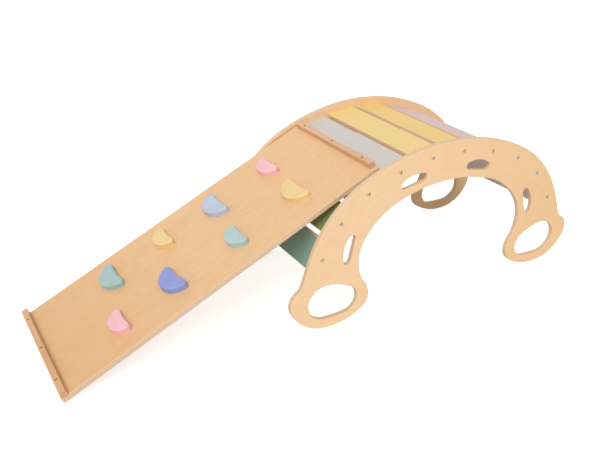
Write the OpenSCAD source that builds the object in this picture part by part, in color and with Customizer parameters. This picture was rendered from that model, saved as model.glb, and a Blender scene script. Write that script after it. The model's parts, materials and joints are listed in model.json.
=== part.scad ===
// Climbing arch on rounded rocker feet, with a hook-on ramp that carries climbing holds.
// Sizes in millimetres. X runs up the ramp, Y across the arch, Z up, the floor is z = 0.

/* [Arch] */
// Distance over the outer faces of the two side panels
arch_width = 560; // [560:5:600]
// Thickness of each side panel
panel_t = 18; // [16:1:20]
// Width of a slat
slat_w = 109; // [104:1:110]
// Thickness of a slat
slat_t = 18; // [17:1:20]
// Spacing of the slats along the line of bolts
slat_pitch = 125; // [124:0.5:126]
// Distance of the line of bolts from the rim
bolt_inset = 39.5; // [38.5:0.5:41]

/* [Ramp] */
// Length of the ramp board
ramp_length = 1143; // [1125:2:1151]
// Width of the ramp board
ramp_width = 492; // [470:2:500]
// Thickness of the ramp board
ramp_t = 18; // [16:1:20]
// Height of the battens that stand on the board
batten_h = 20; // [18:1:24]
// Depth of the hook batten under the board
hook_h = 20; // [18:1:22]

/* [Climbing holds] */
// Thickness of a hold
hold_t = 21; // [18:1:24]
// Rounding of the top edge of a hold
hold_r = 5; // [3:1:6]

/* [Furniture bolts] */
// Width of a bolt head
head_d = 11.5; // [10:0.5:14]
// Thickness of a bolt head
head_t = 2.2; // [1.8:0.2:3]
// Length of a bolt under its head
bolt_len = 60; // [55:5:70]

/* [Hidden] */
wood = [0.93, 0.78, 0.58];
steel = [0.62, 0.62, 0.63];
eps = 0.01;

// Rim of a side panel from the middle of its top to the middle of the tunnel:
// [radius, sweep] pairs, a radius of 0 is a straight of that length
rim = [[700, 26], [405, 45], [0, 66], [46, -39.5], [54, 84.5], [146, 55], [210, 43],
       [53, 64], [84, 34], [20, -16], [160, -21], [134, -39], [260, -36.5], [535, -19.5]];
// Opening in a foot, from its lowest corner round
toe = [[570, -7], [72.5, -41], [54.88, -87], [67.5, -58], [213.7, -23], [47.5, -144]];

// Number of chords for an arc
function chords(r, w) = ceil(abs(w) / (2 * acos(1 - 0.07 / max(r, 5))));
// Points of a run of arcs from p along heading h; a positive sweep turns clockwise
function run(segs, p, h, i = 0) =
    i == len(segs) ? [p] :
    let (w = segs[i][1])
    segs[i][0] == 0 ? concat([p], run(segs, p + w * [cos(h), sin(h)], h, i + 1)) :
    let (r = segs[i][0] * sign(w), c = p + r * [sin(h), -cos(h)], n = chords(segs[i][0], w))
    concat([for (k = [0 : n - 1]) c - r * [sin(h - w * k / n), -cos(h - w * k / n)]],
           run(segs, c - r * [sin(h - w), -cos(h - w)], h - w, i + 1));

function lowest(v) = min([for (p = v) p[1]]);
function widest(v) = max([for (p = v) p[0]]);

half_rim = run(rim, [0, 0], 0);
arch_h = -lowest(half_rim);
function mirrored(v) = [for (i = [len(v) - 1 : -1 : 1]) [-v[i][0], v[i][1]]];
function raised(v, z) = [for (p = v) [p[0], p[1] + z]];
rim_pts = raised(concat(half_rim, mirrored(half_rim)), arch_h);
toe_pts = run(toe, [380, 36.6], -5.5);

// Half-moon with its chord on the X axis and its dome toward +Y. rd dome radius, hh height,
// rc corner radius, bow and rb height and radius of a chord that curves in, d inset
function moon(rd, hh, rc, bow = 0, rb = 0, d = 0) =
    let (c1 = hh - rd, c2 = bow - rb,
         k = pow(rd - rc, 2) - pow(rb + rc, 2),
         yc = bow > 0 ? (c1 * c1 - c2 * c2 - k) / (2 * (c1 - c2)) : rc,
         xc = sqrt(pow(rd - rc, 2) - pow(yc - c1, 2)),
         a1 = atan2(yc - c1, xc),
         a0 = bow > 0 ? atan2(c2 - yc, -xc) : -90,
         b = atan2(yc - c2, xc), n = 7, m = 22, q = 8)
    concat(
        [for (i = [0 : n]) let (a = a0 + (a1 - a0) * i / n) [xc, yc] + (rc - d) * [cos(a), sin(a)]],
        [for (i = [1 : m - 1]) let (a = a1 + (180 - 2 * a1) * i / m)
            [0, c1] + (rd - d) * [cos(a), sin(a)]],
        [for (i = [0 : n]) let (a = 180 - a1 + (a1 - a0) * i / n)
            [-xc, yc] + (rc - d) * [cos(a), sin(a)]],
        bow > 0 ? [for (i = [1 : q - 1]) let (a = 180 - b - (180 - 2 * b) * i / q)
            [0, c2] + (rb + d) * [cos(a), sin(a)]] : []);

// Outline of a board with eased edges
function eased(w, t, r) =
    [for (q = [[1, 1, 0], [-1, 1, 90], [-1, -1, 180], [1, -1, 270]]) for (k = [0 : 5])
        [q[0] * (w / 2 - r) + r * cos(q[2] + 18 * k), q[1] * (t / 2 - r) + r * sin(q[2] + 18 * k)]];

// ---- places on the arch
r_top = rim[0][0];
a_top = rim[0][1];
r_side = rim[1][0];
top_c = [0, arch_h - r_top];
side_c = top_c + (r_top - r_side) * [sin(a_top), cos(a_top)];
// Centre and tilt of the slat s along the line of bolts, s measured from the middle
function on_line(s) =
    let (l1 = (r_top - bolt_inset) * a_top * PI / 180, u = abs(s), g = sign(s))
    u <= l1 ?
    let (a = u / (r_top - bolt_inset) * 180 / PI)
        [g * (r_top - bolt_inset) * sin(a), top_c[1] + (r_top - bolt_inset) * cos(a), g * a] :
    let (a = a_top + (u - l1) / (r_side - bolt_inset) * 180 / PI,
         q = side_c + (r_side - bolt_inset) * [sin(a), cos(a)])
        [g * q[0], q[1], g * a];
n_slats = 10;
slats = [for (i = [0 : n_slats - 1]) on_line((i - (n_slats - 1) / 2) * slat_pitch)];
slat_len = arch_width - 2 * panel_t;
slat_r = 3;
y_in = slat_len / 2;

// ---- lie of the ramp: the foot stands on the floor and the underside rests, with a hair
// of clearance, on the upper rounded edge of the third slat
clear = 0.3;
hook_w = 12;
// The board runs on a little past the line where its underside meets the floor
toe_in = 5;
ramp_end = ramp_length - toe_in;
bearing = ramp_end - 29.5;
rest_c = let (s = slats[2]) [s[0], s[1]] + (slat_w / 2 - slat_r) * [cos(s[2]), -sin(s[2])]
         + (slat_t / 2 - slat_r) * [sin(s[2]), cos(s[2])];
slope = asin(rest_c[1] / norm([bearing, slat_r + clear])) + atan2(slat_r + clear, bearing);
up = [cos(slope), sin(slope)];
out = [-sin(slope), cos(slope)];
foot = rest_c - bearing * up + (slat_r + clear) * out;
x_low = foot[0] + (ramp_t + batten_h) * out[0];
x_high = widest(rim_pts);
// The middle of the whole object is over x = 0
arch_x = -(x_low + x_high) / 2;

batten_w = 20;
screw_y = 181;
hook_s = bearing + 11.25;
top_s = ramp_end - batten_w / 2;
// The ramp hangs a little nearer the back panel
ramp_y = 9;

// [distance up the ramp, distance across, half-moon size, twist, colour]
small = [59, 57];
large = [68.5, 65.5];
pink = [0.99, 0.78, 0.81];
yellow = [0.98, 0.86, 0.59];
holds = [[234, -120, small, 0, pink],
         [287, 110, large, 0, [0.67, 0.81, 0.78]],
         [428, -105, large, 5, [0.60, 0.64, 0.88]],
         [495, 123, small, 0, yellow],
         [663, -114, small, 0, [0.67, 0.84, 0.80]],
         [691, 105, large, 0, [0.77, 0.82, 0.91]],
         [899, -97, large, 0, yellow],
         [915, 115, small, 0, pink]];

slat_paint = [[0.59, 0.77, 0.73], [0.73, 0.82, 0.57], [0.66, 0.85, 0.78], [0.83, 0.80, 0.78],
              [0.93, 0.82, 0.53], [0.93, 0.78, 0.44], [0.84, 0.73, 0.74], [0.81, 0.72, 0.75],
              [0.81, 0.71, 0.77], [0.93, 0.75, 0.79]];

// ---- frames
module on_arch() { translate([arch_x, 0, 0]) children(); }
module at_slat(i) {
    on_arch() translate([slats[i][0], 0, slats[i][1]]) rotate([0, slats[i][2], 0]) children();
}
// X up the slope, Z out of the board, origin at the lower edge of the underside
module on_ramp() {
    on_arch() translate([foot[0], ramp_y, foot[1]]) rotate([0, -slope, 0]) children();
}
module across(len) { rotate([90, 0, 0]) linear_extrude(height = len, center = true) children(); }
module hole_y(d, y0, y1, f = 32) {
    translate([0, y1, 0]) rotate([90, 0, 0]) cylinder(d = d, h = y1 - y0, $fn = f);
}

// ---- side panels
dowel_d = 8;
dowel_len = 30;
dowel_in = 20;
dowel_x = 32;
bolt_d = 6;
nut_d = 10;
nut_len = 13;
nut_y = bolt_len - panel_t - 8;

// Places of the finger holes: [x, height under the top, tilt of the chord]
grips = [[127, 120.5, -11.1], [354.4, 289.5, -76.3]];
grip = moon(92, 34, 12.5);

module cut(pts, x = 0, z = 0, a = 0, flip = false) {
    mirror([flip ? 1 : 0, 0, 0]) translate([x, 0, z]) rotate([0, -a, 0])
        across(panel_t + 2) polygon(pts);
}

module side_panel(side) {
    color(wood) on_arch() translate([0, side * (y_in + panel_t / 2), 0]) difference() {
        across(panel_t) polygon(rim_pts);
        for (f = [false, true]) {
            cut(toe_pts, flip = f);
            for (g = grips) cut(grip, g[0], arch_h - g[1], g[2], f);
        }
        for (s = slats) translate([s[0], 0, s[1]]) rotate([0, s[2], 0]) {
            hole_y(7, -panel_t, panel_t);
            // blind seats for the dowels, open toward the slat
            for (x = [-dowel_x, dowel_x]) translate([x, -side * panel_t / 2, 0])
                hole_y(dowel_d + 0.2, -10.5, 10.5);
        }
    }
}
module side_panel_front() { side_panel(-1); }
module side_panel_back() { side_panel(1); }

// ---- slats
module slat(i) {
    color(slat_paint[i]) at_slat(i) difference() {
        across(slat_len) polygon(eased(slat_w, slat_t, slat_r));
        for (g = [-1, 1]) {
            translate([0, g * y_in, 0]) hole_y(7, -45, 45);
            for (x = [-dowel_x, dowel_x]) translate([x, g * y_in, 0])
                hole_y(dowel_d + 0.2, -dowel_in - 0.5, dowel_in + 0.5);
            // seat of the barrel nut, open at the underside
            translate([0, g * (y_in - nut_y), -slat_t / 2 - 1])
                cylinder(d = nut_d + 0.2, h = slat_t / 2 + 1 + nut_len / 2 + 0.1, $fn = 40);
        }
    }
}
module slat_01() { slat(0); }
module slat_02() { slat(1); }
module slat_03() { slat(2); }
module slat_04() { slat(3); }
module slat_05() { slat(4); }
module slat_06() { slat(5); }
module slat_07() { slat(6); }
module slat_08() { slat(7); }
module slat_09() { slat(8); }
module slat_10() { slat(9); }

// ---- furniture bolt along Y, its head outside the panel at y = 0
module bolt() {
    difference() {
        union() {
            translate([0, -head_t, 0]) rotate([-90, 0, 0])
                cylinder(d1 = head_d - 1.2, d2 = head_d, h = 0.6, $fn = 48);
            hole_y(head_d, 0.6 - head_t, 0, 48);
            hole_y(bolt_d, -0.5, bolt_len - 1, 32);
            translate([0, bolt_len - 1, 0]) rotate([-90, 0, 0])
                cylinder(d1 = bolt_d, d2 = bolt_d - 1.6, h = 1, $fn = 32);
        }
        // hexagon socket
        rotate([90, 0, 0]) translate([0, 0, head_t - 3]) cylinder(d = 4 / cos(30), h = 5, $fn = 6);
    }
}
module bolts(side) {
    color(steel) for (i = [0 : n_slats - 1]) at_slat(i)
        mirror([0, side > 0 ? 1 : 0, 0]) translate([0, -arch_width / 2, 0]) bolt();
}
module bolts_front() { bolts(-1); }
module bolts_back() { bolts(1); }

// ---- barrel nut, its slot seen in the underside of the slat
module barrel_nuts(side) {
    color(steel) for (i = [0 : n_slats - 1]) at_slat(i) translate([0, side * (y_in - nut_y), 0])
        difference() {
            translate([0, 0, -nut_len / 2]) cylinder(d = nut_d, h = nut_len, $fn = 40);
            hole_y(bolt_d + 0.2, -nut_d, nut_d, 32);
            translate([-0.75, -nut_d, -nut_len / 2 - 1]) cube([1.5, 2 * nut_d, 2.2]);
        }
}
module barrel_nuts_front() { barrel_nuts(-1); }
module barrel_nuts_back() { barrel_nuts(1); }

// ---- beech dowels beside each bolt
module dowels(side) {
    color([0.86, 0.70, 0.50]) for (i = [0 : n_slats - 1]) for (x = [-dowel_x, dowel_x])
        at_slat(i) translate([x, side * (y_in - dowel_in + dowel_len / 2), 0]) {
            hole_y(dowel_d, -dowel_len / 2 + 1, dowel_len / 2 - 1);
            for (m = [0, 1]) mirror([0, m, 0]) translate([0, dowel_len / 2 - 1 - eps, 0])
                rotate([-90, 0, 0]) cylinder(d1 = dowel_d, d2 = dowel_d - 2, h = 1, $fn = 32);
        }
}
module dowels_front() { dowels(-1); }
module dowels_back() { dowels(1); }

// ---- wood screws, head up at z = 0 and shank down
screw_d = 4;
module screw(len) {
    difference() {
        union() {
            translate([0, 0, -2.4]) cylinder(d1 = screw_d - 0.2, d2 = 8, h = 2.4, $fn = 32);
            translate([0, 0, -len + 5]) cylinder(d = screw_d - 0.2, h = len - 7, $fn = 24);
            translate([0, 0, -len]) cylinder(d1 = 0.8, d2 = screw_d - 0.2, h = 5, $fn = 24);
        }
        for (a = [0, 90]) rotate([0, 0, a]) translate([-2.2, -0.45, -1.5]) cube([4.4, 0.9, 2]);
    }
}
module screw_hole(len, sink = true) {
    translate([0, 0, -len]) cylinder(d = screw_d, h = len + 1, $fn = 24);
    if (sink) {
        translate([0, 0, -2.5]) cylinder(d1 = screw_d, d2 = 8.3, h = 2.5, $fn = 32);
        translate([0, 0, -eps]) cylinder(d = 8.3, h = 2, $fn = 32);
    }
}
sunk = 0.4;

// ---- ramp
function hold_at(h) = [h[0], h[1], ramp_t];
module at_hold(h) { on_ramp() translate(hold_at(h)) rotate([0, 0, 90 + h[3]]) children(); }
hold_screw_y = [14, 46];

module ramp_board() {
    color(wood) difference() {
        on_ramp() translate([-toe_in, 0, ramp_t / 2]) rotate([90, 0, 90])
            linear_extrude(height = ramp_length) polygon(eased(ramp_width, ramp_t, 3));
        // trimmed level, to stand on the floor
        on_arch() translate([foot[0] - 30, -arch_width / 2, -30]) cube([60, arch_width, 30]);
        for (y = [-screw_y, 0, screw_y]) on_ramp() {
            for (s = [batten_w / 2, top_s])
                translate([s, y, ramp_t + 1]) screw_hole(ramp_t - 1, false);
            translate([hook_s, y, -1]) mirror([0, 0, 1]) screw_hole(ramp_t - 1, false);
        }
        for (h = holds) at_hold(h) for (x = [-20, 20])
            translate([x, 0, -ramp_t + sunk]) mirror([0, 0, 1]) screw_hole(ramp_t + 1);
    }
}
module batten(s0, w, h, z0, len = ramp_width) {
    on_ramp() translate([s0 + w / 2, 0, z0 + h / 2]) across(len) polygon(eased(w, h, 2));
}
module ramp_top_batten() {
    color(wood) difference() {
        batten(ramp_end - batten_w, batten_w, batten_h, ramp_t, ramp_width - 24);
        on_ramp() for (y = [-screw_y, 0, screw_y])
            translate([top_s, y, ramp_t + batten_h - sunk]) screw_hole(batten_h + 1);
    }
}
module ramp_hook_batten() {
    color(wood) difference() {
        batten(hook_s - hook_w / 2, hook_w, hook_h, -hook_h);
        on_ramp() for (y = [-screw_y, 0, screw_y])
            translate([hook_s, y, sunk - hook_h]) mirror([0, 0, 1]) screw_hole(hook_h + 1);
    }
}
module ramp_foot_batten() {
    color(wood) difference() {
        batten(0, batten_w, batten_h, ramp_t);
        on_ramp() for (y = [-screw_y, 0, screw_y])
            translate([batten_w / 2, y, ramp_t + batten_h - sunk]) screw_hole(batten_h + 1);
    }
}
module top_batten_screws() {
    color(steel) on_ramp() for (y = [-screw_y, 0, screw_y])
        translate([top_s, y, ramp_t + batten_h - sunk]) screw(batten_h + 15);
}
module hook_batten_screws() {
    color(steel) on_ramp() for (y = [-screw_y, 0, screw_y])
        translate([hook_s, y, sunk - hook_h]) mirror([0, 0, 1]) screw(hook_h + 14);
}
module foot_batten_screws() {
    color(steel) on_ramp() for (y = [-screw_y, 0, screw_y])
        translate([batten_w / 2, y, ramp_t + batten_h - sunk]) screw(batten_h + 15);
}

// ---- climbing holds: half-moons with a slightly hollow chord up the slope, which gives
// the edge to grip, and a rounded top edge
module hold(n) {
    h = holds[n - 1];
    rings = concat([[0, 0]], [for (k = [0 : 4])
        [hold_t - hold_r + hold_r * sin(22.5 * k), hold_r * (1 - cos(22.5 * k))]]);
    lay = [for (r = rings) [for (p = moon(h[2][0], h[2][1], 13, 5, 250, r[1]))
        [p[0], p[1] - h[2][1] / 2, r[0]]]];
    m = len(lay[0]);
    pts = [for (l = lay) for (p = l) p];
    faces = concat([[for (i = [0 : m - 1]) i]],
        [for (j = [0 : len(lay) - 2]) for (i = [0 : m - 1])
            [j * m + i, (j + 1) * m + i, (j + 1) * m + (i + 1) % m, j * m + (i + 1) % m]],
        [[for (i = [m - 1 : -1 : 0]) (len(lay) - 1) * m + i]]);
    color(h[4]) difference() {
        at_hold(h) polyhedron(points = pts, faces = faces, convexity = 4);
        at_hold(h) for (x = [-20, 20]) translate([x, 0, -1]) cylinder(d = screw_d, h = 16, $fn = 24);
    }
}
module hold_1() { hold(1); }
module hold_2() { hold(2); }
module hold_3() { hold(3); }
module hold_4() { hold(4); }
module hold_5() { hold(5); }
module hold_6() { hold(6); }
module hold_7() { hold(7); }
module hold_8() { hold(8); }
module hold_screws() {
    color(steel) for (h = holds) at_hold(h) for (x = [-20, 20])
        translate([x, 0, -ramp_t + sunk]) mirror([0, 0, 1]) screw(ramp_t + 13);
}

side_panel_front();
side_panel_back();
slat_01();
slat_02();
slat_03();
slat_04();
slat_05();
slat_06();
slat_07();
slat_08();
slat_09();
slat_10();
bolts_front();
bolts_back();
barrel_nuts_front();
barrel_nuts_back();
dowels_front();
dowels_back();
ramp_board();
ramp_top_batten();
ramp_hook_batten();
ramp_foot_batten();
hold_1();
hold_2();
hold_3();
hold_4();
hold_5();
hold_6();
hold_7();
hold_8();
hold_screws();
top_batten_screws();
hook_batten_screws();
foot_batten_screws();
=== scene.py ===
import json
import math

import bpy
from mathutils import Matrix, Vector
from mathutils.geometry import tessellate_polygon


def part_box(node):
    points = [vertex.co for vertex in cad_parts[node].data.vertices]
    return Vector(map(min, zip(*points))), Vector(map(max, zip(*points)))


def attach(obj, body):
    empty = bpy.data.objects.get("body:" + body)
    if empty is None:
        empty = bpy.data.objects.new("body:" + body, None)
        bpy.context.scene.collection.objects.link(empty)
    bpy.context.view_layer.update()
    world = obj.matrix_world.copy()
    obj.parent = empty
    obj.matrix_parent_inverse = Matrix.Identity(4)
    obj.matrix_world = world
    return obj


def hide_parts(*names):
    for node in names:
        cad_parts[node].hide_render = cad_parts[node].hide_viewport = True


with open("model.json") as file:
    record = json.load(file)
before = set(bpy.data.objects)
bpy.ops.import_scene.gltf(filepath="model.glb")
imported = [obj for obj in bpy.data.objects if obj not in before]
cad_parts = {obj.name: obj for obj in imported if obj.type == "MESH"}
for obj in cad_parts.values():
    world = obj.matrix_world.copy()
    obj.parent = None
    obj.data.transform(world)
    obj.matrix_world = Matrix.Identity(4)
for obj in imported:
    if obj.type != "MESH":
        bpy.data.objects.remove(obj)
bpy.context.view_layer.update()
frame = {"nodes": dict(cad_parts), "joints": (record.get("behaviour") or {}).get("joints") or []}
nodes = frame["nodes"]

MM = 0.001

# ---- driving sizes of the arch and the ramp, in millimetres, as the solids have them
PANEL_T = 18.0
PANEL_ROUND = 3.4
ARCH_WIDTH = 560.0
SLAT_T = 18.0
SLAT_PITCH = 125.0
BOLT_INSET = 39.5
RAMP_T = 18.0
RAMP_Y = 9.0
TOE_IN = 5.0
HOLD_T = 21.0
HOLD_ROUND = 5.0

# Rim of a side panel from the middle of its top to the middle of the tunnel:
# (radius, sweep in degrees), where radius 0 is a straight of that length
RIM = [
    (700, 26), (405, 45), (0, 66), (46, -39.5), (54, 84.5), (146, 55), (210, 43),
    (53, 64), (84, 34), (20, -16), (160, -21), (134, -39), (260, -36.5), (535, -19.5),
]
# Opening in a foot, from its lowest corner round
TOE = [(570, -7), (72.5, -41), (54.88, -87), (67.5, -58), (213.7, -23), (47.5, -144)]
TOE_START, TOE_HEADING = (380.0, 36.6), -5.5
# Hand holes: place of the chord's middle across, under the top, and the chord's tilt
GRIPS = [(127.0, 120.5, -11.1), (354.4, 289.5, -76.3)]
GRIP_DOME, GRIP_HEIGHT, GRIP_CORNER = 92.0, 34.0, 12.5

# Climbing holds: distance up the ramp, distance across, (dome radius, height), twist
SMALL, LARGE = (59.0, 57.0), (68.5, 65.5)
HOLDS = [
    (234, -120, SMALL, 0), (287, 110, LARGE, 0), (428, -105, LARGE, 5), (495, 123, SMALL, 0),
    (663, -114, SMALL, 0), (691, 105, LARGE, 0), (899, -97, LARGE, 0), (915, 115, SMALL, 0),
]
HOLD_CORNER, HOLD_BOW, HOLD_BOW_R = 13.0, 5.0, 250.0

# ---- how finely curves are drawn
ARC_FINENESS = 50
CORNER_STEPS, DOME_STEPS, BOW_STEPS = 8, 24, 10
PANEL_EDGE_STEPS, HOLD_EDGE_STEPS = 5, 8
# how far into the wood the outward directions of an outline are measured
PROBE = 0.5


# ---------------------------------------------------------------- outlines

def run(segments, start, heading, into=0.0):
    """Points of a run of arcs, drawn `into` the wood to the right of the line."""
    a = math.radians(heading)
    p = Vector(start) + into * Vector((math.sin(a), -math.cos(a)))
    points = []
    for radius, sweep in segments:
        points.append(p.copy())
        if radius == 0:
            p = p + sweep * Vector((math.cos(a), math.sin(a)))
            continue
        turn = math.copysign(1.0, sweep)
        r = radius - turn * into
        centre = p + r * turn * Vector((math.sin(a), -math.cos(a)))
        steps = max(3, round(math.sqrt(radius) * abs(sweep) / ARC_FINENESS))
        for k in range(1, steps + 1):
            b = a - math.radians(sweep) * k / steps
            q = centre - r * turn * Vector((math.sin(b), -math.cos(b)))
            if k < steps:
                points.append(q)
        p, a = q, b
    points.append(p.copy())
    return points


def rim(into=0.0):
    """Whole rim of a side panel, middle of its top at (0, 0)."""
    half = run(RIM, (0, 0), 0, into)
    return half + [Vector((-p.x, p.y)) for p in half[:0:-1]]


def toe_hole(into=0.0):
    """Opening in one foot."""
    return run(TOE, TOE_START, TOE_HEADING, into)[:-1]


def arc(x, y, radius, start, turn, steps):
    """Points of an arc about (x, y), with both its ends."""
    angles = [start + turn * i / steps for i in range(steps + 1)]
    return [Vector((x + radius * math.cos(a), y + radius * math.sin(a))) for a in angles]


def half_moon(dome, height, corner, bow=0.0, bow_r=0.0, inside=0.0, fineness=1):
    """Half-moon with its chord on the X axis and its dome toward +Y. The chord is
    straight, or hollow by `bow`. The outline is drawn `inside` from the shape's own."""
    dome_y, bow_y = height - dome, bow - bow_r
    if bow:
        k = (dome - corner) ** 2 - (bow_r + corner) ** 2
        corner_y = (dome_y * dome_y - bow_y * bow_y - k) / (2 * (dome_y - bow_y))
    else:
        corner_y = corner
    corner_x = math.sqrt((dome - corner) ** 2 - (corner_y - dome_y) ** 2)
    rise = math.atan2(corner_y - dome_y, corner_x)
    fall = math.atan2(bow_y - corner_y, -corner_x) if bow else -math.pi / 2
    r = corner - inside
    n = CORNER_STEPS * fineness
    points = arc(corner_x, corner_y, r, fall, rise - fall, n)
    points += arc(0, dome_y, dome - inside, rise, math.pi - 2 * rise, DOME_STEPS * fineness)[1:-1]
    points += arc(-corner_x, corner_y, r, math.pi - rise, rise - fall, n)
    if bow:
        b = math.atan2(corner_y - bow_y, corner_x)
        points += arc(0, bow_y, bow_r + inside, math.pi - b, 2 * b - math.pi,
                      BOW_STEPS * fineness)[1:-1]
    return points


def placed(points, x, y, degrees, flip=1):
    """Points turned and moved to (x, y), and mirrored in X where flip is -1."""
    c, s = math.cos(math.radians(degrees)), math.sin(math.radians(degrees))
    return [Vector((flip * (x + p.x * c - p.y * s), y + p.x * s + p.y * c)) for p in points]


# ---------------------------------------------------------------- places

ARCH_H = -min(p.y for p in run(RIM, (0, 0), 0))
ARCH_X = (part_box("side_panel_front")[0].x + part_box("side_panel_front")[1].x) / 2 / MM


def on_bolt_line(s):
    """Centre and tilt of the slat at s along the line of bolts from the middle."""
    (r1, a1), (r2, _) = RIM[0], RIM[1]
    u, side = abs(s), math.copysign(1.0, s)
    length = (r1 - BOLT_INSET) * math.radians(a1)
    if u <= length:
        a = u / (r1 - BOLT_INSET)
        x, z = (r1 - BOLT_INSET) * math.sin(a), ARCH_H - r1 + (r1 - BOLT_INSET) * math.cos(a)
    else:
        a = math.radians(a1) + (u - length) / (r2 - BOLT_INSET)
        cx = (r1 - r2) * math.sin(math.radians(a1))
        cz = ARCH_H - r1 + (r1 - r2) * math.cos(math.radians(a1))
        x, z = cx + (r2 - BOLT_INSET) * math.sin(a), cz + (r2 - BOLT_INSET) * math.cos(a)
    return side * x, z, side * a


lift_axis = Vector(frame["joints"][0]["axis"])
SLOPE = math.atan2(-lift_axis.x, lift_axis.z)
board_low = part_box("ramp_board")[0]
# where the board's underside meets the floor, a little up from the board's end
foot_back = RAMP_T * math.sin(SLOPE) + TOE_IN * math.cos(SLOPE)
RAMP_FOOT = Vector((board_low.x + foot_back * MM, RAMP_Y * MM, 0))

# ramp: X up the slope, Y across and Z square to the board, from its underside at the floor
RAMP_FRAME = Matrix.Translation(RAMP_FOOT) @ Matrix.Rotation(-SLOPE, 4, "Y")
# panel: X along the arch, Y up and Z toward the near side
PANEL_FRAME = Matrix.Rotation(math.pi / 2, 4, "X")
ALONG_Y = Matrix.Rotation(math.pi / 2, 4, "Z")


def slat_frame(i, count):
    """X along the slat, Y across its width, Z out of its outer face."""
    x, z, tilt = on_bolt_line((i - (count - 1) / 2) * SLAT_PITCH)
    return (
        Matrix.Translation(Vector((ARCH_X + x, 0, z)) * MM)
        @ Matrix.Rotation(tilt, 4, "Y")
        @ ALONG_Y
    )


def shifted_frame(place, x=0.0, y=0.0, z=0.0):
    return place @ Matrix.Translation(Vector((x, y, z)) * MM)


# ---------------------------------------------------------------- meshes

def edge_profile(thickness, rounding, both, steps):
    """Up the edge of a plate: (height, distance into the wood, lean of the normal)."""
    turns = [math.pi / 2 * k / steps for k in range(steps + 1)]
    quarter = [(rounding * (1 - math.sin(t)), rounding * (1 - math.cos(t)), math.sin(t))
               for t in turns]
    upper = [(thickness - drop, into, lean) for drop, into, lean in quarter]
    if not both:
        return [(0.0, 0.0, 0.0)] + upper
    return [(drop, into, -lean) for drop, into, lean in reversed(quarter)] + upper


def smooth_piece(name, verts, normals, faces, place):
    """An object from corners and their normals, in millimetres in its own frame."""
    mesh = bpy.data.meshes.new(name)
    mesh.from_pydata([place @ (Vector(v) * MM) for v in verts], [], faces)
    mesh.validate()
    turn = place.to_3x3()
    normals = [turn @ Vector(n) for n in normals]
    # faces are turned so that they agree with the normals of their corners
    for polygon in mesh.polygons:
        polygon.use_smooth = True
        lean = sum((normals[v] for v in polygon.vertices), Vector())
        if polygon.normal.dot(lean) < 0:
            polygon.flip()
    mesh.update()
    mesh.normals_split_custom_set_from_vertices(normals)
    piece = bpy.data.objects.new(name, mesh)
    bpy.context.scene.collection.objects.link(piece)
    return piece


def rounded_plate(name, loops, thickness, rounding, place, steps, both=True):
    """A plate with rounded edges. loops are functions of the distance into the wood; the
    first is the rim and the others are openings. The plate lies between z = 0 and
    its thickness in its own frame, in millimetres. Unless `both`, only its upper edge
    is rounded."""
    profile = edge_profile(thickness, rounding, both, steps)
    verts, normals, faces, caps = [], [], [], {0: [], len(profile) - 1: []}
    for loop in loops:
        rings = []
        outward = [(p - q).normalized() for p, q in zip(loop(0.0), loop(PROBE))]
        for k, (height, into, lean) in enumerate(profile):
            ring = []
            for p, n in zip(loop(into), outward):
                ring.append(len(verts))
                verts.append((p.x, p.y, height))
                side = math.sqrt(max(0.0, 1 - lean * lean))
                normals.append((n.x * side, n.y * side, lean))
            rings.append(ring)
            if k in caps:
                caps[k].append(ring)
        count = len(rings[0])
        for low, high in zip(rings, rings[1:]):
            for i in range(count):
                j = (i + 1) % count
                faces.append((low[i], high[i], high[j], low[j]))
    for rings in caps.values():
        lists = [[Vector(verts[v]) for v in ring] for ring in rings]
        flat = [v for ring in rings for v in ring]
        for tri in tessellate_polygon(lists):
            faces.append(tuple(flat[i] for i in tri))
    return smooth_piece(name, verts, normals, faces, place)


# ---------------------------------------------------------------- material helpers

def srgb(r, g, b):
    """Colour as seen on a screen, 0 to 255, as the shader's own values."""
    out = []
    for c in (r, g, b):
        c /= 255
        out.append(c / 12.92 if c <= 0.04045 else ((c + 0.055) / 1.055) ** 2.4)
    return (*out, 1.0)


def darker(colour, share):
    """The colour with only that share of its light."""
    return tuple(c * share for c in colour[:3]) + (1.0,)


def feed(tree, value, socket):
    """Links a socket's value, or sets a constant."""
    if isinstance(value, bpy.types.NodeSocket):
        tree.links.new(value, socket)
    else:
        socket.default_value = value


def add(tree, kind, inputs=None, **settings):
    """A node with its settings, its inputs fed by name or by number."""
    node = tree.nodes.new(kind)
    for key, value in settings.items():
        setattr(node, key, value)
    for key, value in (inputs or {}).items():
        feed(tree, value, node.inputs[key])
    return node


def calc(tree, operation, a, b=0.0, clamp=False):
    node = add(tree, "ShaderNodeMath", {0: a, 1: b}, operation=operation, use_clamp=clamp)
    return node.outputs[0]


def weighted(tree, terms, start=0.0, clamp=False):
    """start plus each value times its weight."""
    total = start
    for value, weight in terms:
        total = calc(tree, "ADD", total, calc(tree, "MULTIPLY", value, weight), clamp)
    return total


def mix(tree, factor, a, b, way="MIX"):
    """Two colours mixed; the node keeps its sockets for colours at 6, 7 and 2."""
    node = add(tree, "ShaderNodeMix", {0: factor, 6: a, 7: b}, data_type="RGBA", blend_type=way)
    return node.outputs[2]


def spread(tree, value, low, high):
    """Smooth step of a value, 0 at low and 1 at high."""
    node = add(tree, "ShaderNodeMapRange", {0: value, 1: low, 2: high},
               interpolation_type="SMOOTHSTEP")
    return node.outputs[0]


def noise(tree, vector, scale, detail, roughness=0.55, distortion=0.0):
    node = add(tree, "ShaderNodeTexNoise", {
        "Vector": vector, "Scale": scale, "Detail": detail,
        "Roughness": roughness, "Distortion": distortion,
    })
    return node.outputs[0]


def stretched(tree, vector, x, y, z):
    """A place whose three directions are each multiplied, for features per metre."""
    node = add(tree, "ShaderNodeVectorMath", {0: vector, 1: (x, y, z)}, operation="MULTIPLY")
    return node.outputs[0]


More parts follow.
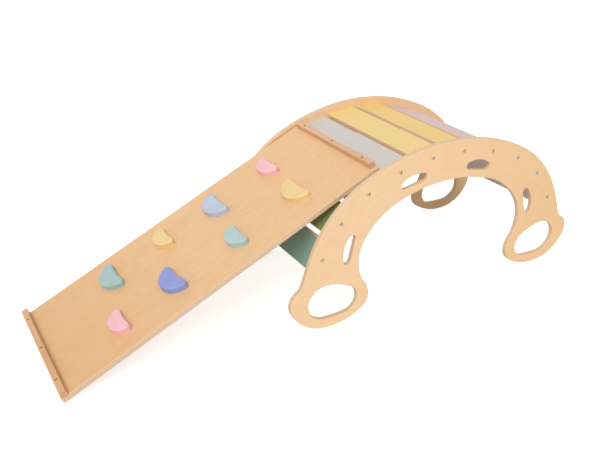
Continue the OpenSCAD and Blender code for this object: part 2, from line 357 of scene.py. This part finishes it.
def shader_group(name, inputs, outputs):
    """An empty node group, and the sockets that its inputs and outputs have inside it."""
    tree = bpy.data.node_groups.new(name, "ShaderNodeTree")
    kinds = {"value": "NodeSocketFloat", "colour": "NodeSocketColor", "vector": "NodeSocketVector"}
    for side, sockets in (("INPUT", inputs), ("OUTPUT", outputs)):
        for socket, kind in sockets.items():
            tree.interface.new_socket(socket, in_out=side, socket_type=kinds[kind])
    given = tree.nodes.new("NodeGroupInput").outputs
    return tree, given, tree.nodes.new("NodeGroupOutput").inputs


# ---------------------------------------------------------------- shared effects

# thickness of a face veneer, of a coat of paint where it thins over an edge, and of a ply
VENEER = 0.00045
PAINT_EDGE = 0.00012
PLY = 0.00138
# what the face is multiplied by where the painted shade is deepest, a darkening toward one end of
# a board that stands in for light falling off across it
PAINTED_SHADE_TINT = (0.93, 0.88, 0.80, 1.0)
VENEER_RINGS = 22.0
# the figure's place in the veneer for a seed of 1, in metres along and across the grain
SEED_ALONG, SEED_ACROSS = 1.37, 0.61
# how far through the skin the bare plies begin to show, and where they show fully
SKIN_FADE = (0.75, 1.25)
# bare plies, lengthwise and crosswise, each between two colours
LONG_PLY, LONG_PLY_STREAK = srgb(232, 202, 170), srgb(224, 194, 161)
CROSS_PLY, CROSS_PLY_PORE = srgb(218, 186, 153), srgb(200, 164, 130)


def veneer_figure(tree, place):
    """Figure of peeled veneer, which darkens the face, with the parts that it is made of:
    clouding, fine fibres and short dark flecks."""
    broad = noise(tree, stretched(tree, place, 1.6, 4.2, 1),
                  scale=2.0, detail=3.0, roughness=0.45, distortion=0.8)
    rings = calc(tree, "PINGPONG", calc(tree, "MULTIPLY", broad, VENEER_RINGS), 1.0)
    waves = spread(tree, rings, low=0.15, high=0.95)
    cloud = noise(tree, stretched(tree, place, 2.0, 4.5, 1), scale=3.0, detail=3.0)
    fibres = noise(tree, stretched(tree, place, 22, 620, 1),
                   scale=1.0, detail=3.0, roughness=0.6)
    specks = noise(tree, stretched(tree, place, 75, 820, 1), scale=1.0, detail=1.0)
    flecks = spread(tree, specks, low=0.62, high=0.74)
    figure = weighted(tree, [
        (waves, 0.45), (cloud, 0.75), (calc(tree, "SUBTRACT", fibres, 0.5), 0.5), (flecks, 0.35),
    ])
    return figure, cloud, fibres, flecks


def bare_plies(tree, place, depth):
    """Colour of the plies at a board's edge, and a mask of the crosswise ones, which are
    darker and show open pores."""
    layer = calc(tree, "DIVIDE", depth, PLY)
    crosswise = spread(tree, calc(tree, "PINGPONG", layer, 1.0), low=0.40, high=0.60)
    pores = noise(tree, stretched(tree, place, 330, 330, 900), scale=1.0, detail=2.0)
    streak = noise(tree, stretched(tree, place, 9, 9, 700), scale=1.0, detail=1.0)
    colour = mix(tree, crosswise, mix(tree, streak, LONG_PLY, LONG_PLY_STREAK),
                 mix(tree, pores, CROSS_PLY, CROSS_PLY_PORE))
    return colour, crosswise


def plywood_group():
    """Board of thin plies: a figured or painted skin, and bare plies at its edges.
    X runs along the grain and Z through the thickness, with z = 0 in the middle."""
    tree, given, out = shader_group(
        "plywood",
        {"Vector": "vector", "Thickness": "value", "Skin": "value", "Face": "colour",
         "Grain": "colour", "Figure": "value", "Seed": "value",
         "Painted Shade Start": "value", "Painted Shade Full": "value"},
        {"Color": "colour", "Roughness": "value", "Height": "value"},
    )
    part = add(tree, "ShaderNodeSeparateXYZ", {0: given["Vector"]}).outputs
    depth = calc(tree, "SUBTRACT", calc(tree, "MULTIPLY", given["Thickness"], 0.5),
                 calc(tree, "ABSOLUTE", part[2]))
    bare = spread(tree, depth, *(calc(tree, "MULTIPLY", given["Skin"], f) for f in SKIN_FADE))
    seed = given["Seed"]
    shifted = add(tree, "ShaderNodeCombineXYZ", {
        0: calc(tree, "ADD", part[0], calc(tree, "MULTIPLY", seed, SEED_ALONG)),
        1: calc(tree, "ADD", part[1], calc(tree, "MULTIPLY", seed, SEED_ACROSS)),
        2: seed,
    }).outputs[0]
    figure, cloud, fibres, flecks = veneer_figure(tree, shifted)
    tone = calc(tree, "MULTIPLY", figure, given["Figure"], clamp=True)
    face = mix(tree, tone, given["Face"], given["Grain"])
    # painted shade: the face darkens from one end toward the other, standing in for light that
    # falls off across the board
    painted_shade = spread(tree, part[0], given["Painted Shade Start"], given["Painted Shade Full"])
    face = mix(tree, painted_shade, face, PAINTED_SHADE_TINT, way="MULTIPLY")
    edge, crosswise = bare_plies(tree, given["Vector"], depth)
    feed(tree, mix(tree, bare, face, edge), out["Color"])
    feed(tree, weighted(tree, [(cloud, 0.12), (bare, 0.15)], start=0.40), out["Roughness"])
    relief = weighted(tree, [(fibres, 0.6), (flecks, -1.0)])
    grooves = calc(tree, "MULTIPLY", crosswise, bare)
    feed(tree, weighted(tree, [(relief, given["Figure"]), (grooves, -1.2)]), out["Height"])
    return tree


def straight_grain_group():
    """Sawn solid wood with straight grain along X."""
    tree, given, out = shader_group(
        "straight_grain",
        {"Vector": "vector", "Light": "colour", "Dark": "colour", "Seed": "value"},
        {"Color": "colour", "Roughness": "value", "Height": "value"},
    )
    part = add(tree, "ShaderNodeSeparateXYZ", {0: given["Vector"]}).outputs
    shifted = add(tree, "ShaderNodeCombineXYZ", {
        0: calc(tree, "ADD", part[0], given["Seed"]), 1: part[1], 2: part[2],
    }).outputs[0]
    lines = noise(tree, stretched(tree, shifted, 3.5, 190, 190),
                  scale=1.0, detail=3.0, roughness=0.6, distortion=0.3)
    broad = noise(tree, stretched(tree, shifted, 2.5, 30, 30), scale=1.0, detail=2.0)
    specks = noise(tree, stretched(tree, shifted, 60, 900, 900), scale=1.0, detail=1.0)
    pores = spread(tree, specks, low=0.62, high=0.75)
    tone = weighted(tree, [
        (spread(tree, lines, low=0.35, high=0.7), 0.6), (broad, 0.4), (pores, 0.3),
    ], clamp=True)
    feed(tree, mix(tree, tone, given["Light"], given["Dark"]), out["Color"])
    feed(tree, weighted(tree, [(broad, 0.15)], start=0.42), out["Roughness"])
    feed(tree, calc(tree, "SUBTRACT", lines, pores), out["Height"])
    return tree


def satin_paint_group():
    """Sprayed satin paint over smoothed wood: faint clouding, fine orange peel."""
    tree, given, out = shader_group(
        "satin_paint",
        {"Vector": "vector", "Paint": "colour", "Shade": "colour", "Seed": "value"},
        {"Color": "colour", "Roughness": "value", "Height": "value"},
    )
    moved = add(tree, "ShaderNodeVectorMath", {0: given["Vector"], 1: given["Seed"]},
                operation="ADD").outputs[0]
    cloud = noise(tree, moved, scale=18.0, detail=4.0)
    peel = noise(tree, moved, scale=900.0, detail=2.0)
    clouding = spread(tree, cloud, low=0.3, high=0.75)
    feed(tree, mix(tree, clouding, given["Paint"], given["Shade"]), out["Color"])
    feed(tree, weighted(tree, [(cloud, 0.16)], start=0.42), out["Roughness"])
    feed(tree, peel, out["Height"])
    return tree


def plated_steel_group():
    """Plated steel with faint blotches and fine scratches."""
    tree, given, out = shader_group(
        "plated_steel",
        {"Vector": "vector", "Metal": "colour", "Dull": "colour"},
        {"Color": "colour", "Roughness": "value", "Height": "value"},
    )
    blotch = noise(tree, given["Vector"], scale=400.0, detail=3.0)
    scratch = noise(tree, stretched(tree, given["Vector"], 300, 4000, 300), scale=1.0, detail=2.0)
    dulling = spread(tree, blotch, low=0.35, high=0.7)
    feed(tree, mix(tree, dulling, given["Metal"], given["Dull"]), out["Color"])
    feed(tree, weighted(tree, [(scratch, 0.25)], start=0.28), out["Roughness"])
    feed(tree, scratch, out["Height"])
    return tree


PLYWOOD = plywood_group()
STRAIGHT_GRAIN = straight_grain_group()
SATIN_PAINT = satin_paint_group()
PLATED_STEEL = plated_steel_group()


# ---------------------------------------------------------------- materials

LACQUER, LACQUER_ROUGHNESS = 0.1, 0.35


def finish(name, effect, place, values, relief=0.1, relief_depth=0.0002, metal=0.0, coat=0.0):
    """A material from one effect. place is the frame that its grain lies in. relief is
    how strongly its height shows, and relief_depth how deep it goes, in metres."""
    material = bpy.data.materials.new(name)
    material.use_nodes = True
    tree = material.node_tree
    tree.nodes.clear()
    spot, turn, _ = place.decompose()
    point = add(tree, "ShaderNodeTexCoord").outputs["Object"]
    mapping = add(tree, "ShaderNodeMapping", {
        "Vector": point, "Location": spot, "Rotation": turn.to_euler(),
    }, vector_type="TEXTURE")
    group = add(tree, "ShaderNodeGroup", {"Vector": mapping.outputs[0], **values},
                node_tree=effect)
    bump = add(tree, "ShaderNodeBump", {
        "Strength": relief, "Distance": relief_depth, "Height": group.outputs["Height"],
    })
    shader = add(tree, "ShaderNodeBsdfPrincipled", {
        "Base Color": group.outputs["Color"], "Roughness": group.outputs["Roughness"],
        "Normal": bump.outputs[0], "Metallic": metal, "Coat Weight": coat,
        "Coat Roughness": LACQUER_ROUGHNESS,
    })
    add(tree, "ShaderNodeOutputMaterial", {0: shader.outputs[0]})
    return material


def dress(piece, material):
    piece.data.materials.clear()
    piece.data.materials.append(material)
    for polygon in piece.data.polygons:
        polygon.material_index = 0


# the ramp's birch is the panels' birch darkened as painted shade, to offset the extra light its
# upturned face takes from the window
BIRCH, SHADED_BIRCH, BIRCH_GRAIN = srgb(245, 208, 162), srgb(228, 186, 141), srgb(216, 172, 118)


def birch_ply(name, place, thickness, seed, face, figure, shade_start, shade_full):
    """figure is how strongly the veneer's figure shows. The last two are places along the grain,
    in millimetres, between which a painted shade darkens the face, standing in for light that
    falls off across it."""
    return finish(name, PLYWOOD, place, {
        "Thickness": thickness * MM, "Skin": VENEER, "Face": face, "Grain": BIRCH_GRAIN,
        "Figure": figure, "Seed": seed, "Painted Shade Start": shade_start * MM, "Painted Shade Full": shade_full * MM,
    }, relief=0.25, coat=LACQUER)


def painted_ply(name, place, thickness, paint, seed):
    # metres along the grain, past the end of every board, so that no painted shade falls on the
    # paint
    unshaded_start, unshaded_full = 10.0, 11.0
    return finish(name, PLYWOOD, place, {
        "Thickness": thickness * MM, "Skin": PAINT_EDGE, "Face": paint,
        "Grain": darker(paint, 0.88), "Figure": 0.3, "Seed": seed,
        "Painted Shade Start": unshaded_start, "Painted Shade Full": unshaded_full,
    }, relief=0.15)


# ---------------------------------------------------------------- side panels

# the panels' faces darken as painted shade, for light that falls off along the arch, from the
# first of these places to the second, in millimetres
PANEL_FIGURE, PANEL_SHADE_START, PANEL_SHADE_FULL = 0.18, -250, 600
# (node, side, seed), where side is -1 for the near panel and 1 for the far one
PANELS = [("side_panel_front", -1, 2.0), ("side_panel_back", 1, 7.3)]


def side_panel(node, side, seed):
    loops = [lambda d: [p + Vector((0, ARCH_H)) for p in rim(d)]]
    for flip in (1, -1):
        loops.append(lambda d, f=flip: [Vector((f * p.x, p.y)) for p in toe_hole(d)])
        for x, down, tilt in GRIPS:
            loops.append(lambda d, x=x, down=down, tilt=tilt, f=flip: placed(
                half_moon(GRIP_DOME, GRIP_HEIGHT, GRIP_CORNER, inside=-d),
                x, ARCH_H - down, tilt, f))
    outer = side * ARCH_WIDTH / 2
    back = outer if side > 0 else outer + PANEL_T
    place = Matrix.Translation(Vector((ARCH_X, back, 0)) * MM) @ PANEL_FRAME
    piece = rounded_plate(node + "_board", loops, PANEL_T, PANEL_ROUND, place, PANEL_EDGE_STEPS)
    grain = shifted_frame(place, z=PANEL_T / 2)
    dress(piece, birch_ply(node + "_birch", grain, PANEL_T, seed, BIRCH,
                           PANEL_FIGURE, PANEL_SHADE_START, PANEL_SHADE_FULL))
    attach(piece, "arch")
    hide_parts(node)


for node, side, seed in PANELS:
    side_panel(node, side, seed)


# ---------------------------------------------------------------- slats

# paint of each slat; slats 1 and 2 have their paints darkened as painted shade, for the ramp's
# shadow over them
SLAT_PAINTS_AND_SHADE = [
    srgb(124, 162, 142), srgb(138, 158, 98), srgb(168, 218, 200), srgb(203, 197, 192),
    srgb(235, 206, 131), srgb(238, 201, 115), srgb(217, 188, 186), srgb(213, 188, 190),
    srgb(212, 187, 194), srgb(214, 196, 186),
]
SLAT_SEED, SLAT_SEED_STEP = 0.4, 1.7

for i, paint in enumerate(SLAT_PAINTS_AND_SHADE):
    name = f"slat_{i + 1:02d}"
    dress(nodes[name], painted_ply(name + "_paint", slat_frame(i, len(SLAT_PAINTS_AND_SHADE)), SLAT_T,
                                   paint, SLAT_SEED_STEP * i + SLAT_SEED))


# ---------------------------------------------------------------- ramp

# the ramp's face darkens as painted shade toward its foot, between these places up the slope, in
# millimetres
RAMP_SEED, RAMP_FIGURE, RAMP_SHADE_START, RAMP_SHADE_FULL = 4.6, 0.5, 620, 40

board_frame = shifted_frame(RAMP_FRAME, z=RAMP_T / 2)
dress(nodes["ramp_board"],
      birch_ply("ramp_birch", board_frame, RAMP_T, RAMP_SEED, SHADED_BIRCH,
                RAMP_FIGURE, RAMP_SHADE_START, RAMP_SHADE_FULL))

# (node, light wood, dark wood)
BATTENS = [
    ("ramp_top_batten", srgb(222, 181, 143), srgb(197, 153, 114)),
    ("ramp_hook_batten", srgb(222, 178, 136), srgb(197, 151, 109)),
    ("ramp_foot_batten", srgb(219, 172, 126), srgb(195, 147, 102)),
]
BATTEN_SEED_STEP = 3.1
for k, (name, light, dark) in enumerate(BATTENS):
    dress(nodes[name], finish(name + "_wood", STRAIGHT_GRAIN, RAMP_FRAME @ ALONG_Y, {
        "Light": light, "Dark": dark, "Seed": BATTEN_SEED_STEP * k,
    }, relief=0.2, coat=LACQUER))

# (material slot, paint), one for each hold
HOLD_PAINTS = [
    ("hold_pink", srgb(240, 186, 192)), ("hold_teal", srgb(163, 188, 187)),
    ("hold_periwinkle", srgb(141, 153, 209)), ("hold_yellow", srgb(233, 203, 139)),
    ("hold_mint", srgb(174, 199, 197)), ("hold_sky", srgb(183, 194, 212)),
    ("hold_yellow", srgb(233, 203, 139)), ("hold_pink", srgb(240, 186, 192)),
]
HOLD_SEED_STEP = 1.3


def climbing_hold(number):
    up, across, (dome, height), twist = HOLDS[number - 1]
    slot, paint = HOLD_PAINTS[number - 1]
    node = f"hold_{number}"
    place = (
        shifted_frame(RAMP_FRAME, up, across, RAMP_T)
        @ Matrix.Rotation(math.radians(90 + twist), 4, "Z")
        @ Matrix.Translation((0, -height / 2 * MM, 0))
    )

    def outline(inside):
        return half_moon(dome, height, HOLD_CORNER, HOLD_BOW, HOLD_BOW_R, inside, fineness=2)

    piece = rounded_plate(node + "_grip", [outline], HOLD_T, HOLD_ROUND, place,
                          HOLD_EDGE_STEPS, both=False)
    dress(piece, finish(node + "_paint", SATIN_PAINT, place, {
        "Paint": paint, "Shade": darker(paint, 0.92), "Seed": number * HOLD_SEED_STEP,
    }, relief=0.12, relief_depth=0.0001))
    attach(piece, "ramp")
    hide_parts(node)


for number in range(1, len(HOLDS) + 1):
    climbing_hold(number)


# ---------------------------------------------------------------- fittings

zinc = finish("zinc_plating", PLATED_STEEL, Matrix.Identity(4), {
    "Metal": srgb(208, 198, 180), "Dull": srgb(160, 151, 136),
}, metal=1.0)
dark_zinc = finish("dark_screws", PLATED_STEEL, Matrix.Identity(4), {
    "Metal": srgb(170, 134, 100), "Dull": srgb(126, 96, 70),
}, metal=1.0)
beech = finish("beech_dowels", STRAIGHT_GRAIN, ALONG_Y, {
    "Light": srgb(222, 178, 132), "Dark": srgb(190, 142, 98), "Seed": 1.0,
}, relief=0.2)
for name in ("bolts_front", "bolts_back", "barrel_nuts_front", "barrel_nuts_back"):
    dress(nodes[name], zinc)
for name in ("hold_screws", "top_batten_screws", "hook_batten_screws", "foot_batten_screws"):
    dress(nodes[name], dark_zinc)
for name in ("dowels_front", "dowels_back"):
    dress(nodes[name], beech)


# ---------------------------------------------------------------- studio

WHITE = (1, 1, 1, 1)
# half the floor's side and how far it lies under the object, in metres
FLOOR_HALF, FLOOR_DROP = 40.0, 0.0005
FLOOR_GREY = (0.86, 0.86, 0.86, 1)
# brings the lit floor up to white for the camera alone
FLOOR_GLOW = 0.67
WORLD_STRENGTH = 0.55
# the window: direction from the object, how wide it looks in degrees, and strength
WINDOW_TOWARD, WINDOW_WIDTH, WINDOW_STRENGTH = (-0.50, -0.50, 0.71), 40.0, 2.0


def studio_floor():
    mesh = bpy.data.meshes.new("floor")
    corners = [(-1, -1), (1, -1), (1, 1), (-1, 1)]
    mesh.from_pydata([(x * FLOOR_HALF, y * FLOOR_HALF, 0) for x, y in corners],
                     [], [(0, 1, 2, 3)])
    floor = bpy.data.objects.new("floor", mesh)
    bpy.context.scene.collection.objects.link(floor)
    floor.location.z = -FLOOR_DROP
    material = bpy.data.materials.new("pale_floor")
    material.use_nodes = True
    tree = material.node_tree
    tree.nodes.clear()
    seen = add(tree, "ShaderNodeLightPath").outputs["Is Camera Ray"]
    matt = add(tree, "ShaderNodeBsdfDiffuse", {"Color": FLOOR_GREY})
    glow = add(tree, "ShaderNodeEmission", {
        "Color": WHITE, "Strength": calc(tree, "MULTIPLY", seen, FLOOR_GLOW),
    })
    both = add(tree, "ShaderNodeAddShader", {0: matt.outputs[0], 1: glow.outputs[0]})
    add(tree, "ShaderNodeOutputMaterial", {0: both.outputs[0]})
    mesh.materials.append(material)


def studio_world():
    """A white backdrop for the camera and for reflections, and a dimmer light from it."""
    world = bpy.data.worlds.new("studio")
    bpy.context.scene.world = world
    world.use_nodes = True
    tree = world.node_tree
    tree.nodes.clear()
    ray = add(tree, "ShaderNodeLightPath").outputs
    shown = calc(tree, "MAXIMUM", ray["Is Camera Ray"], ray["Is Glossy Ray"])
    level = weighted(tree, [(shown, 1.0 - WORLD_STRENGTH)], start=WORLD_STRENGTH)
    sky = add(tree, "ShaderNodeBackground", {"Color": WHITE, "Strength": level})
    add(tree, "ShaderNodeOutputWorld", {0: sky.outputs[0]})


def studio_window():
    """A broad, even light from far off."""
    lamp = bpy.data.lights.new("window", "SUN")
    lamp.energy, lamp.angle = WINDOW_STRENGTH, math.radians(WINDOW_WIDTH)
    holder = bpy.data.objects.new("window", lamp)
    bpy.context.scene.collection.objects.link(holder)
    holder.rotation_mode = "QUATERNION"
    holder.rotation_quaternion = Vector(WINDOW_TOWARD).to_track_quat("Z", "Y")


# Camera: where the photograph was taken from, in the frame of the solids
CAMERA_PLACE = (-1540.0 + ARCH_X, -2080.0, 1379.0)
CAMERA_AZIMUTH, CAMERA_ELEVATION, CAMERA_ROLL = -29.0125, 25.7700, -0.7628
LENS, SENSOR = 46.957, 36.0


def camera():
    az, el, roll = (math.radians(v) for v in (CAMERA_AZIMUTH, CAMERA_ELEVATION, CAMERA_ROLL))
    back = Vector((math.sin(az) * math.cos(el), -math.cos(az) * math.cos(el), math.sin(el)))
    right = Vector((math.cos(az), math.sin(az), 0))
    up = back.cross(right)
    right, up = (math.cos(roll) * right + math.sin(roll) * up,
                 math.cos(roll) * up - math.sin(roll) * right)
    data = bpy.data.cameras.new("camera")
    data.lens, data.sensor_width = LENS, SENSOR
    holder = bpy.data.objects.new("camera", data)
    bpy.context.scene.collection.objects.link(holder)
    turn = Matrix((right, up, back)).transposed().to_4x4()
    holder.matrix_world = Matrix.Translation(Vector(CAMERA_PLACE) * MM) @ turn
    bpy.context.scene.camera = holder


studio_floor()
studio_world()
studio_window()
camera()
bpy.context.scene.view_settings.view_transform = "Standard"
